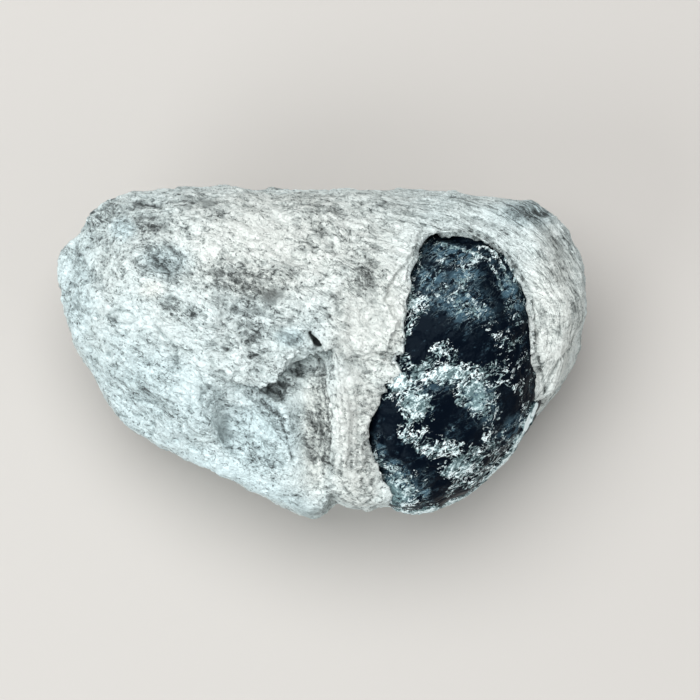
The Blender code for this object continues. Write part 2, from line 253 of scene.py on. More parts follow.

# Patches of crust, bare black glass, bluish haze, which on the nodule's upper part is partly
# painted reflection of the sky, and lace of thin crust
CRUSTS = (
    (441, 375, 42, 11, -3, 1), (414, 405, 14, 20, 10, 1), (407, 436, 8, 16, -20, 0.9),
    (473, 397, 17, 26, -12, 1), (439, 447, 25, 9, -8, 0.95), (459, 467, 22, 9, -25, 0.85),
    (458, 486, 20, 6, -28, 0.6), (396, 468, 13, 5, 25, 0.8), (402, 490, 16, 15, 20, 0.7),
    (424, 483, 5, 14, 0, 0.55), (487, 441, 9, 7, 40, 0.5), (463, 277, 15, 9, -25, 0.32),
    (466, 306, 19, 14, 20, 0.26), (413, 303, 8, 18, 0, 0.55), (438, 343, 10, 7, -25, 0.45),
    (507, 344, 8, 4, 25, 0.45), (478, 326, 14, 3, 35, 0.45), (529, 414, 4, 12, 30, 1.1),
    (478, 450, 14, 3, 10, 0.6), (430, 246, 12, 3, 10, 0.3), (416, 470, 6, 4, 0, 0.4),
    (505, 384, 10, 3, 20, 0.45), (498, 462, 34, 7, -45, 0.42), (452, 497, 26, 5, -28, 0.42),
    (398, 381, 10, 15, -35, 1.1), (446, 356, 18, 6, -15, 0.45),
)
BLACKS = (
    (385, 419, 12, 14, 0, 1.1), (376, 437, 8, 11, -20, 0.8), (399, 456, 18, 11, 27, 1.2),
    (443, 406, 9, 15, -5, 1.2), (460, 424, 17, 15, 0, 1.2), (508, 407, 8, 14, 0, 0.6),
    (433, 485, 13, 12, 0, 1), (458, 491, 9, 6, -20, 0.9), (470, 341, 13, 15, 0, 1.2),
    (430, 333, 15, 12, -20, 0.7), (405, 372, 4, 6, 0, 0.8), (435, 388, 12, 5, -10, 0.7),
    (428, 254, 5, 9, 0, 0.6), (414, 285, 3, 9, 0, 0.6), (450, 276, 12, 5, -12, 0.7),
    (486, 285, 12, 18, -15, 0.5), (441, 500, 8, 4, 0, 0.7), (415, 345, 8, 10, 0, 0.8),
    (416, 424, 4, 3, 0, 0.9), (425, 418, 3, 8, 30, 0.5), (444, 312, 12, 8, 0, 0.5),
)
HAZE_AND_REFLECTION_PATCHES = (
    (428, 279, 14, 10, 0, 1), (452, 256, 28, 10, 15, 0.9), (463, 277, 16, 10, -20, 1),
    (466, 306, 22, 17, 20, 0.9), (509, 292, 9, 20, -25, 1), (440, 300, 18, 12, 0, 0.6),
    (396, 468, 13, 6, 25, 0.9), (399, 488, 18, 14, 20, 0.8), (512, 428, 18, 9, -35, 0.6),
    (450, 432, 6, 5, 0, 0.8), (380, 448, 5, 14, -15, 0.6), (424, 490, 5, 14, 0, 0.8),
    (478, 402, 14, 16, -15, 0.8), (430, 388, 26, 8, -20, 0.4),
)
LACES = (
    (500, 310, 28, 45, 0, 0.8), (510, 372, 22, 45, 0, 0.8), (505, 430, 28, 22, -30, 0.8),
    (440, 300, 32, 22, 0, 0.8), (452, 350, 34, 14, -10, 0.8), (460, 478, 34, 20, -28, 1),
    (388, 440, 12, 10, 0, 0.6), (455, 262, 38, 18, 10, 0.9), (395, 495, 20, 14, 20, 0.9),
    (440, 425, 20, 12, 0, 0.4),
)


# Noise

MIXERS = tuple(np.uint32(number) for number in (374761393, 668265263, 2246822519, 1274126177))
SALT_STEP = 40503
SALT_START = 977
LOW_BITS = np.uint32(0xFFFFFF)


def hashed(cells, salt):
    """A number from 0 to 1 for each whole-number cell, always the same for the same salt."""
    x, y, z = (cells[:, k].astype(np.int64).astype(np.uint32) for k in range(3))
    mixed = x * MIXERS[0] + y * MIXERS[1] + z * MIXERS[2]
    mixed = mixed + np.uint32(salt * SALT_STEP + SALT_START)
    mixed = (mixed ^ (mixed >> np.uint32(13))) * MIXERS[3]
    mixed = (mixed ^ (mixed >> np.uint32(15))) * MIXERS[2]
    return ((mixed ^ (mixed >> np.uint32(16))) & LOW_BITS) / LOW_BITS


NOISE_GAIN = 1.6
OCTAVE_STEP = 2.03
FAR = 9.0


def noise(places, salt):
    """Smooth noise from about -1 to 1, with one bump to a unit."""
    base = np.floor(places)
    part = places - base
    fade = part**3 * (part * (part * 6 - 15) + 10)
    total = np.zeros(len(places))
    for corner in itertools.product((0, 1), repeat=3):
        cell = base + corner
        near = np.where(np.array(corner) == 1, fade, 1 - fade).prod(axis=1)
        for k in range(3):
            total += near * (part[:, k] - corner[k]) * (hashed(cell, salt * 3 + k) * 2 - 1)
    return total * NOISE_GAIN


def layered(places, salt, octaves=4, gain=0.5):
    """Noise with finer and weaker noise on top."""
    total = np.zeros(len(places))
    height = 1.0
    for octave in range(octaves):
        total += height * noise(places * OCTAVE_STEP**octave, salt + octave)
        height *= gain
    return total


def scattered(places, salt):
    """Dots, one to a unit cell: how far the nearest and the second are, and the first's number."""
    base = np.floor(places)
    first = np.full(len(places), FAR)
    second = first.copy()
    owner = np.zeros(len(places))
    for step in itertools.product((-1, 0, 1), repeat=3):
        cell = base + step
        dots = cell + np.stack([hashed(cell, salt * 3 + k) for k in range(3)], axis=1)
        away = np.linalg.norm(places - dots, axis=1)
        nearer = away < first
        second = np.where(nearer, first, np.minimum(second, away))
        owner = np.where(nearer, hashed(cell, salt * 7 + 5), owner)
        first = np.where(nearer, away, first)
    return first, second, owner


def ramp(values, low, high):
    """0 at low, 1 at high, smooth between them and level past them."""
    share = np.clip((values - low) / (high - low), 0, 1)
    return share * share * (3 - 2 * share)


# Meshes

def even_mesh(node, name, voxel):
    """A closed copy of a solid, with even faces all over."""
    closed = bmesh.new()
    closed.from_mesh(node.data)
    bmesh.ops.remove_doubles(closed, verts=closed.verts[:], dist=MERGE_DISTANCE)
    mesh = bpy.data.meshes.new(name)
    closed.to_mesh(mesh)
    closed.free()
    piece = bpy.data.objects.new(name, mesh)
    bpy.context.scene.collection.objects.link(piece)
    remesh = piece.modifiers.new("even", "REMESH")
    remesh.mode = "VOXEL"
    remesh.voxel_size = voxel
    graph = bpy.context.evaluated_depsgraph_get()
    piece.data = bpy.data.meshes.new_from_object(piece.evaluated_get(graph))
    piece.modifiers.clear()
    piece.data.name = name
    bpy.data.meshes.remove(mesh)
    return piece


def divide(piece, chooser):
    """Divides once the faces that the chooser takes, given their middles and normals."""
    divided = bmesh.new()
    divided.from_mesh(piece.data)
    middles = np.array([face.calc_center_median() for face in divided.faces])
    normals = np.array([face.normal for face in divided.faces])
    edges = set()
    for face, taken in zip(divided.faces, chooser(middles, normals)):
        if taken:
            edges.update(face.edges)
    bmesh.ops.subdivide_edges(divided, edges=list(edges), cuts=1, use_grid_fill=True)
    divided.to_mesh(piece.data)
    divided.free()


def get_vectors(rows, key):
    vectors = np.empty(len(rows) * 3, np.float32)
    rows.foreach_get(key, vectors)
    return vectors.reshape(-1, 3).astype(float)


def get_places(mesh):
    return get_vectors(mesh.vertices, "co")


def set_places(mesh, places):
    mesh.vertices.foreach_set("co", places.astype(np.float32).ravel())
    mesh.update()


def get_normals(mesh):
    return get_vectors(mesh.vertex_normals, "vector")


def spread(mesh, values, rounds):
    """Averages the values of each point with those of its neighbours, a number of times."""
    edges = np.empty(len(mesh.edges) * 2, np.int32)
    mesh.edges.foreach_get("vertices", edges)
    a, b = edges.reshape(-1, 2).T
    size = len(values)
    count = np.bincount(a, minlength=size) + np.bincount(b, minlength=size)
    columns = values.astype(float).reshape(size, -1)
    for _ in range(rounds):
        total = np.empty_like(columns)
        for k in range(columns.shape[1]):
            total[:, k] = np.bincount(a, columns[b, k], size) + np.bincount(b, columns[a, k], size)
        columns = 0.5 * columns + 0.5 * total / count[:, None]
    return columns.reshape(values.shape)


def raise_surface(mesh, places, heights):
    """Moves each point out by its height in millimetres, and keeps the foot on the floor."""
    moved = get_places(mesh) + places.normals * heights[:, None] * MM
    moved[:, 2] = np.maximum(moved[:, 2], 0)
    moved[get_places(mesh)[:, 2] < FOOT_HEIGHT, 2] = 0
    set_places(mesh, moved)


def set_masks(mesh, masks):
    for name, values in masks.items():
        kind = "FLOAT" if values.ndim == 1 else "FLOAT_VECTOR"
        attribute = mesh.attributes.new(name, kind, "POINT")
        key = "value" if values.ndim == 1 else "vector"
        attribute.data.foreach_set(key, values.astype(np.float32).ravel())


# Places

# Fades, each 0 at its first value and 1 at its second. Facing is 1 towards the camera, 0 at the
# outline and below 0 underneath. Heights are in millimetres from the face's middle, and for the
# foot from the floor
SEEN_FACING = (0.0, 0.35)
SEEN_HEIGHTS = (-9, -5)
SIDE_FACING = (0.85, 0.35)
FOOT_FADE = (0.3, 3)

# How steeply a patch falls off: its strength is halved at its edge
PATCH_FALL = 0.7


class Places:
    """Points in metres with their normals: their millimetres, and the pixels where they show.

    Shares from 0 to 1: seen where the photograph shows a point, upright where the surface is
    steep, and beside on the sides and underneath, but not at the foot.
    """

    turn = np.array(Matrix.Rotation(FACE_TIP, 3, "X"))

    def __init__(self, points, normals):
        self.mm = points / MM
        self.normals = normals
        face_on = (self.mm - np.array(MIDDLE) / MM) @ self.turn
        self.facing = (normals @ self.turn)[:, 2]
        self.height = face_on[:, 2]
        self.x = MIDDLE_PIXEL[0] + face_on[:, 0] * PIXELS_PER_MM
        self.y = MIDDLE_PIXEL[1] - face_on[:, 1] * PIXELS_PER_MM
        self.seen = ramp(self.facing, *SEEN_FACING) * ramp(self.height, *SEEN_HEIGHTS)
        self.upright = ramp(np.abs(self.facing), *SIDE_FACING)
        self.beside = ramp(self.facing, *SIDE_FACING) * ramp(self.mm[:, 2], *FOOT_FADE)

    @classmethod
    def of(cls, piece):
        return cls(get_places(piece.data), get_normals(piece.data))

    def shaken(self, reach, size, salt):
        """The same points with their pixels moved about by noise, for ragged patches."""
        moved = copy.copy(self)
        moved.x = self.x + reach * layered(self.mm / size, salt, 3, 0.6)
        moved.y = self.y + reach * layered(self.mm / size, salt + 50, 3, 0.6)
        return moved

    def patch(self, x, y, wide, high, turn, strength):
        """The strength in the middle of an oval patch, half of it at the edge, 0 further out."""
        dx, dy = self.x - x, self.y - y
        c, s = math.cos(math.radians(turn)), math.sin(math.radians(turn))
        along, across = dx * c + dy * s, dy * c - dx * s
        far = (along / wide) ** 2 + (across / high) ** 2
        return strength * np.exp(-PATCH_FALL * far**1.5)

    def strongest(self, patches):
        """The strongest of some patches at each point, where the photograph shows it."""
        total = np.zeros(len(self.x))
        for patch in patches:
            total = np.maximum(total, self.patch(*patch))
        return total * self.seen

    def summed(self, patches):
        """All the patches' strengths together, seen or not."""
        return sum(self.patch(*patch) for patch in patches)

    def from_line(self, line):
        """Pixels to the nearest point of a line, and its side: 1 right of its travel, or -1."""
        best = np.full(len(self.x), np.inf)
        side = np.zeros(len(self.x))
        for (x0, y0), (x1, y1) in zip(line, line[1:]):
            dx, dy = x1 - x0, y1 - y0
            along = ((self.x - x0) * dx + (self.y - y0) * dy) / (dx * dx + dy * dy)
            along = np.clip(along, 0, 1)
            away = np.hypot(self.x - x0 - along * dx, self.y - y0 - along * dy)
            right = np.sign((self.y - y0) * dx - (self.x - x0) * dy)
            side = np.where(away < best, right, side)
            best = np.minimum(best, away)
        return best, side

    def on_line(self, line, width):
        """1 on a line, falling to 0 at about twice its width, where the photograph shows it."""
        away, _ = self.from_line(line)
        return np.exp(-((away / width) ** 2)) * self.seen


# Faces that are divided: how far up they look at least, and how strong their patch is
VIEW_UPWARD = 0.2
WINDOW_UPWARD = 0.1
FINEST_STRENGTH = 0.4


def in_view(middles, normals):
    """Whether faces look up at the camera and lie in the upper part of the stone."""
    return (normals[:, 2] > VIEW_UPWARD) & (middles[:, 2] > VIEW_HEIGHT)


def at_details(middles, normals):
    """Whether faces of the rock hold its finest forms."""
    finest = Places(middles, normals).strongest(FINEST) > FINEST_STRENGTH
    return in_view(middles, normals) & finest


def in_window(middles, normals):
    """Whether faces of the nodule show in the rock's window."""
    places = Places(middles, normals)
    left, right, top, bottom = NODULE_BOX
    shown = (places.x > left) & (places.x < right) & (places.y > top) & (places.y < bottom)
    return shown & (normals[:, 2] > WINDOW_UPWARD)


# The rock

# The bands: how much they close in with depth, how far they waver, the pixels between which they
# start at the top and on the right, and their strength on the sides
FLOW_DEPTH = 0.7
FLOW_WAVE = 0.35
TOP_FROM_LEFT = (320, 430)
TOP_FROM_BELOW = (275, 235)
RIGHT_FROM_LEFT = (500, 530)
SIDE_BANDS = 0.40


def flow_of(places):
    """Millimetres across and along the bands that sweep over the rock and down its sides."""
    dx = (places.x - FLOW_MIDDLE[0]) / FLOW_REACH[0]
    dy = (places.y - FLOW_MIDDLE[1]) / FLOW_REACH[1]
    across = np.hypot(dx, dy) * FLOW_REACH[1] / PIXELS_PER_MM - FLOW_DEPTH * places.height
    along = np.arctan2(dy, dx) * FLOW_REACH[1] / PIXELS_PER_MM
    wave = FLOW_WAVE * noise(places.mm / 5, 5)
    return np.stack([across + wave, along, 0.2 * places.height], axis=1)


def banding_of(places):
    """How strongly the bands show: on the top edge, the right end and, faintly, the sides."""
    top = ramp(places.x, *TOP_FROM_LEFT) * ramp(places.y, *TOP_FROM_BELOW)
    right = ramp(places.x, *RIGHT_FROM_LEFT) * (0.4 + 0.6 * ramp(places.facing, -0.1, 0.4))
    patchy = ramp(noise(places.mm / 9, 7), -0.3, 0.2)
    sides = SIDE_BANDS * ramp(places.facing, 0.35, 0.0) * patchy
    return np.maximum(np.maximum(top, right), sides)


# The pixels over which the crease fades to its left and to its right, and where it runs out below
TROUGH_LEFT = 9
TROUGH_RIGHT = 2.5
TROUGH_END = (478, 440)

# The pixels of a fibre across and along it, and how far it wavers
FIBRE_PIXELS = (2.6, 75)
FIBRE_WAVE = 0.6


def trough_of(places):
    """1 in the crease on the left of the upright ridge, falling slowly to its left."""
    away, side = places.shaken(1.6, 1.5, 191).from_line(CREASE)
    fall = np.where(side > 0, np.exp(-away / TROUGH_LEFT), np.exp(-away / TROUGH_RIGHT))
    return fall * ramp(places.y, *TROUGH_END) * places.seen


def fibres_of(places):
    """How strongly the ridge's fibres show, and coordinates that run across and along them."""
    away, side = places.from_line(CREASE)
    across = -side * away + FIBRE_WAVE * noise(places.mm / 1.5, 193)
    lines = np.stack([across / FIBRE_PIXELS[0], places.y / FIBRE_PIXELS[1], 0 * away], axis=1)
    return places.patch(*FIBRES) * places.seen, lines


# Relief, all in millimetres but the scales' size, which is in pixels
HUMP_SIZE = 4.5
HUMP_HEIGHT = 0.32
GRAIN_SIZE = 1.4
GRAIN_HEIGHT = 0.15
CELL_SIZE = 2.4
CELL_STEP = 0.16
JOINT_DEPTH = 0.14
CRUMB_SIZE = 0.95
CRUMB_HEIGHT = 0.12
PIT_SIZE = 1.9
PIT_DEPTH = 0.36
BAND_SIZES = (0.55, 9, 3)
BAND_HEIGHT = 0.20
FIBRE_HEIGHT = 0.28
SCALE_PIXELS = (15, 10)
SCALE_HEIGHT = 0.32


def broken_relief(places, rough):
    """Humps, and where the rock is rough also grains, cells with joints, crumbs and pits."""
    mm = places.mm
    relief = HUMP_HEIGHT * layered(mm / HUMP_SIZE, 21, 3, 0.5) * (1 - 0.5 * places.upright)
    relief += GRAIN_HEIGHT * layered(mm / GRAIN_SIZE, 25, 3, 0.6) * rough
    bent = 0.25 * layered(mm / 2, 11, 2)[:, None]
    first, second, owner = scattered(mm / CELL_SIZE + bent, 12)
    relief += (CELL_STEP * owner - JOINT_DEPTH * ramp(second - first, 0.16, 0.0)) * rough
    first, _, owner = scattered(mm / CRUMB_SIZE, 31)
    relief += CRUMB_HEIGHT * ramp(first, 0.75, 0.1) * ramp(owner, 0.3, 0.6) * rough
    first, _, owner = scattered(mm / PIT_SIZE, 41)
    relief -= PIT_DEPTH * ramp(first, 0.36, 0.08) * ramp(owner, 0.45, 0.6) * rough
    return relief


def rock_relief(places, flow, bands, smooth):
    """How far the rock's surface stands out from its solid, without its edges and cracks."""
    relief = broken_relief(places, (1 - 0.55 * bands) * (1 - 0.8 * smooth))
    patchy = 0.35 + 0.65 * ramp(noise(places.mm / 5, 57), -0.4, 0.5)
    relief += BAND_HEIGHT * layered(flow / BAND_SIZES, 51, 3, 0.6) * bands * patchy
    fibres, lines = fibres_of(places)
    relief += FIBRE_HEIGHT * layered(lines / 1.4, 55, 3, 0.6) * fibres
    scales = places.patch(*SCALES) * places.seen
    tiles = np.stack([places.x / SCALE_PIXELS[0], places.y / SCALE_PIXELS[1], 0 * places.x], axis=1)
    first, second, _ = scattered(tiles, 61)
    relief += SCALE_HEIGHT * ramp(second - first, 0.35, 0.0) * scales
    return relief


# Lines in the relief: depths in millimetres, and the pixels between which they fade. For the cuts,
# the lines, their depth in millimetres and their width in pixels
SHELL_DEPTH = 0.60
SHELL_NEAR = (0.5, 3)
SHELL_FAR = (26, 12)
LIP_DEPTH = 1.1
LIP_NEAR = (-0.5, 2.5)
LIP_FAR = (22, 4)
TROUGH_DEPTH = 0.55
CUTS = (((SLIT,), 1.0, 1.7), (CRACKS, 0.30, 1.8), (LAYER_ENDS, 0.45, 1.7))


def rock_lines(places):
    """The relief of the rock's edges, creases and cracks."""
    away, side = places.from_line(SHELL_EDGE)
    away = away + 2.2 * noise(places.mm / 0.9, 71)
    step = (side < 0) * ramp(away, *SHELL_NEAR) * ramp(away, *SHELL_FAR)
    relief = -SHELL_DEPTH * step * places.seen
    away, side = places.from_line(LIP)
    hollow = (side > 0) * ramp(away, *LIP_NEAR) * ramp(away, *LIP_FAR)
    relief -= LIP_DEPTH * hollow * places.seen
    relief -= TROUGH_DEPTH * trough_of(places)
    for lines, depth, width in CUTS:
        for line in lines:
            relief -= depth * places.on_line(line, width)
    return relief


# Tone, from 0 for black to 1 for white: the rock's own, and what darkens or lightens it, which for
# the slit, the crease, the lip and the shell's edge is painted shade and painted light
BASE_TONE = 0.745
CLOUD_TONE = 0.13
MOTTLE_TONE = 0.08
PATCH_TONE = 1.1
BAND_TONE = 0.22
FIBRE_TONE = 0.44
CRACK_TONE = 0.44
LAYER_TONE = 0.75
SLIT_PAINTED_SHADE = 1.3
TROUGH_PAINTED_SHADE = 0.20
LIP_SHADE = 0.10
LIP_LIGHT = 0.16
SHELL_SHADE = 0.20
SHELL_LIGHT = 0.12

# Painted shade darkens hollows and painted light pales crests: by how much at so many millimetres,
# and the limits
CAVITY_SHADE_AND_LIGHT = 0.18
CAVITY_DEPTH = 0.16
CAVITY_LIMITS = (-1.4, 1.0)


def line_tones(places, ragged):
    """How much the rock's edges, creases and cracks darken or lighten it.

    The slit and the crease get painted shade, the lip painted shade below it and painted light on
    its edge, and the shell's edge painted shade on its step and painted light on its rim.
    """
    tone = -SLIT_PAINTED_SHADE * places.on_line(SLIT, 1.5) - TROUGH_PAINTED_SHADE * trough_of(places)
    for line in CRACKS:
        tone -= CRACK_TONE * places.on_line(line, 1.5)
    broken = ramp(layered(places.mm / 0.9, 97, 2), -0.5, 0.3)
    for line in LAYER_ENDS:
        tone -= LAYER_TONE * places.on_line(line, 1.6) * broken
    away, side = ragged.from_line(LIP)
    tone -= LIP_SHADE * (side > 0) * ramp(away, 8, 1) * places.seen
    tone += LIP_LIGHT * (side < 0) * ramp(away, 5, 1) * places.seen
    away, side = ragged.from_line(SHELL_EDGE)
    tone -= SHELL_SHADE * ramp(away, 2.2, 0.4) * places.seen
    tone += SHELL_LIGHT * (side > 0) * ramp(away, 7, 1) * places.seen
    return tone


def tone_of(places, flow, bands, fine, cavity):
    """How pale the rock is at each point."""
    mm = places.mm
    ragged = places.shaken(3.5, 1.6, 171)
    tone = BASE_TONE + CLOUD_TONE * layered(mm / 5.0, 81, 3, 0.6)
    tone += MOTTLE_TONE * layered(mm / 1.3, 85, 3, 0.6) * fine
    # greyer patches, partly painted shade under the lip, in the crease and on the hollow's wall
    greyer_and_shaded = ragged.summed(GREYER_AND_SHADED) * places.seen
    tone += PATCH_TONE * (ragged.strongest(PALER) - greyer_and_shaded)
    # painted shade in the relief's hollows and painted light on its crests
    tone += CAVITY_SHADE_AND_LIGHT * np.clip(cavity / CAVITY_DEPTH, *CAVITY_LIMITS)
    patchy = 0.4 + 0.6 * ramp(noise(mm / 4, 93), -0.4, 0.5)
    tone += BAND_TONE * layered(flow / (0.5, 10, 3), 91, 3, 0.65) * bands * patchy
    fibres, lines = fibres_of(places)
    tone += FIBRE_TONE * layered(lines, 95, 3, 0.7) * fibres
    return tone + line_tones(places, ragged)


def rock_masks(places, flow, bands, smooth, cavity):
    """What the rock's finish reads at each point."""
    fine = 1 - smooth
    tone = tone_of(places, flow, bands, fine, cavity)
    # the rock's own warmth, plus painted tint of cool and warm light from the patches
    warmth_and_light_tint = 0.15 * layered(places.mm / 6, 99, 2)
    warmth_and_light_tint += places.strongest(WARMER_AND_WARM_LIT) - places.strongest(COOLER_AND_COOL_LIT)
    fine = fine * (1 - 0.4 * bands)
    return {"tone": tone, "warmth_and_light_tint": warmth_and_light_tint, "fine": fine, "bands": bands, "flow": flow}


# How a rim's move fades: with the pixels outside and inside its line, its facing and its height
RIM_OUTSIDE = (15, 0)
RIM_INSIDE = (-9, -3)
WALL_FACING = (0.75, 0.15)
WALL_HEIGHTS = (-12, -5)


def push(rock, directions, millimetres):
    """Moves points in the directions, which are given face-on."""
    moves = (millimetres[:, None] * directions) @ Places.turn.T * MM
    set_places(rock.data, get_places(rock.data) + moves)


def close_rim(rock, line, at_rim, at_wall):
    """Leans a side of the window in over the nodule, as the wall of its socket."""
    places = Places.of(rock)
    away, side = places.from_line(line)
    outside = np.where(side < 0, away, -away)
    near = ramp(outside, *RIM_OUTSIDE) * ramp(outside, *RIM_INSIDE)
    near *= ramp(places.height, *WALL_HEIGHTS)
    wall = ramp(places.facing, *WALL_FACING)
    inward = np.array([NODULE_MIDDLE[0] - places.x, places.y - NODULE_MIDDLE[1], 0 * places.x]).T
    inward /= np.linalg.norm(inward, axis=1)[:, None]
    push(rock, inward, near * (at_rim + at_wall * wall))


def trim_outline(rock, places):
    """Moves the stone's sides in or out a little, to where the photograph's outline runs."""
    dx = (places.x - FLOW_MIDDLE[0]) / FLOW_REACH[0] ** 2
    dy = (places.y - FLOW_MIDDLE[1]) / FLOW_REACH[1] ** 2
    outward = np.array([dx, -dy, 0 * dx]).T / np.hypot(dx, dy)[:, None]
    push(rock, outward, spread(rock.data, places.summed(TRIMS) * places.beside, TRIM_ROUNDS))


def even_out(rock, places):
    """Evens out the points where the rim runs out thin, so that it ends without spikes."""
    points = get_places(rock.data)
    share = places.patch(*THIN_RIM)[:, None]
    even = spread(rock.data, points, THIN_ROUNDS)
    set_places(rock.data, points + share * (even - points))


# How far the rock is set back, in millimetres, so that its relief stays within its solid's box, and
# how many rounds tell a hollow from what is around it
SET_BACK = 0.1
CAVITY_ROUNDS = 10


def make_rock(node):
    rock = even_mesh(node, "perlite", ROCK_VOXEL)
    divide(rock, in_view)
    divide(rock, at_details)
    set_places(rock.data, spread(rock.data, get_places(rock.data), ROCK_SMOOTHING))
    for rim in RIMS:
        close_rim(rock, *rim)
    places = Places.of(rock)
    flow = flow_of(places)
    bands = banding_of(places)
    smooth = places.strongest(SMOOTH)
    fine = rock_relief(places, flow, bands, smooth)
    relief = fine + rock_lines(places) + places.summed(SWELLS) * places.seen
    cavity = fine - spread(rock.data, fine, CAVITY_ROUNDS)
    set_masks(rock.data, rock_masks(places, flow, bands, smooth, cavity))
    raise_surface(rock.data, places, relief - SET_BACK)
    trim_outline(rock, places)
    even_out(rock, places)
    rock.data.shade_smooth()
    return rock


# The nodule

# What each thing adds to the crust's cover or takes from it
CRUST_COVER = 0.88
BLACK_COVER = -0.80
LACE_COVER = 0.17
UNEVEN_COVER = 0.20
EDGE_COVER = 0.28
CAPSULE_SKIN_COVER = 0.7
SKIN_COVER = 1.1
SLIVER_COVER = 0.9
CAPSULE_COVER = -1.0

# Widths and fades in pixels, and the heights between which the skin and the swells fade in
CAPSULE_WIDTH = 4.0
CAPSULE_SKIN_WIDTH = 1.6
SLIVER_WIDTH = 1.4
EDGE_FADE = (10, 2)
SKIN_FADE = (3.0, 1.2)
SKIN_HEIGHTS = (-12, -9)
SWELL_HEIGHTS = (-13, -9)

# The nodule's relief in millimetres
WAVE_HEIGHT = 0.20
CRUST_HEIGHT = 0.16
CRUST_GRAIN = 0.10
CHIP_SIZE = 2.6
CHIP_BOWL = 0.26
CHIP_STEP = 0.12
CAPSULE_DEPTH = 0.35


def nodule_cover(places):
    """How thick the crust is: it covers the glass from about 0.7 up, and in threads below that."""
    mm = places.mm
    ragged = places.shaken(3.4, 1.0, 151)
    cover = CRUST_COVER * ragged.strongest(CRUSTS) + BLACK_COVER * ragged.strongest(BLACKS)
    cover += LACE_COVER * ragged.strongest(LACES) * ramp(noise(mm / 1.9, 117), -0.7, 0.0)
    cover += UNEVEN_COVER * layered(mm / 1.5, 101, 4, 0.65)
    away, _ = ragged.from_line(NODULE_LEFT_EDGE)
    cover += EDGE_COVER * ramp(away, *EDGE_FADE) * places.seen
    cover += CAPSULE_SKIN_COVER * places.on_line(CAPSULE_SKIN, CAPSULE_SKIN_WIDTH)
    away, _ = places.from_line(SKIN_EDGE)
    skin = ramp(away, *SKIN_FADE) * ramp(places.height, *SKIN_HEIGHTS)
    cover += SKIN_COVER * skin * ramp(noise(mm / 2.2, 121), -0.8, -0.3)
    for sliver in SLIVERS:
        cover += SLIVER_COVER * ragged.on_line(sliver, SLIVER_WIDTH)
    cover += CAPSULE_COVER * places.on_line(CAPSULE, CAPSULE_WIDTH)
    return cover


def nodule_relief(places, cover):
    """How far the nodule's surface stands out: crust in grains, and glass in shallow chips."""
    mm = places.mm
    crusted = ramp(cover, 0.5, 0.8)
    relief = WAVE_HEIGHT * layered(mm / 3.5, 131, 2)
    relief += crusted * (CRUST_HEIGHT + CRUST_GRAIN * layered(mm / 0.7, 135, 3, 0.6))
    first, _, owner = scattered(mm / CHIP_SIZE, 141)
    relief -= (1 - crusted) * (CHIP_BOWL * first * first + CHIP_STEP * owner)
    relief -= CAPSULE_DEPTH * places.on_line(CAPSULE, CAPSULE_WIDTH)
    relief += places.summed(NODULE_SWELLS) * ramp(places.height, *SWELL_HEIGHTS)
    return relief


def make_nodule(node):
    nodule = even_mesh(node, "apache_tear", NODULE_VOXEL)
    divide(nodule, in_view)
    divide(nodule, in_window)
    set_places(nodule.data, spread(nodule.data, get_places(nodule.data), NODULE_SMOOTHING))
    places = Places.of(nodule)
    cover = nodule_cover(places)
    # The haze is partly painted reflection of the sky on the nodule's upper part
    haze_and_reflection = places.shaken(3.0, 1.2, 181).strongest(HAZE_AND_REFLECTION_PATCHES)
    set_masks(nodule.data, {"cover": cover, "haze_and_reflection": haze_and_reflection})
    raise_surface(nodule.data, places, nodule_relief(places, cover))
    nodule.data.shade_smooth()
    return nodule


# Finishes

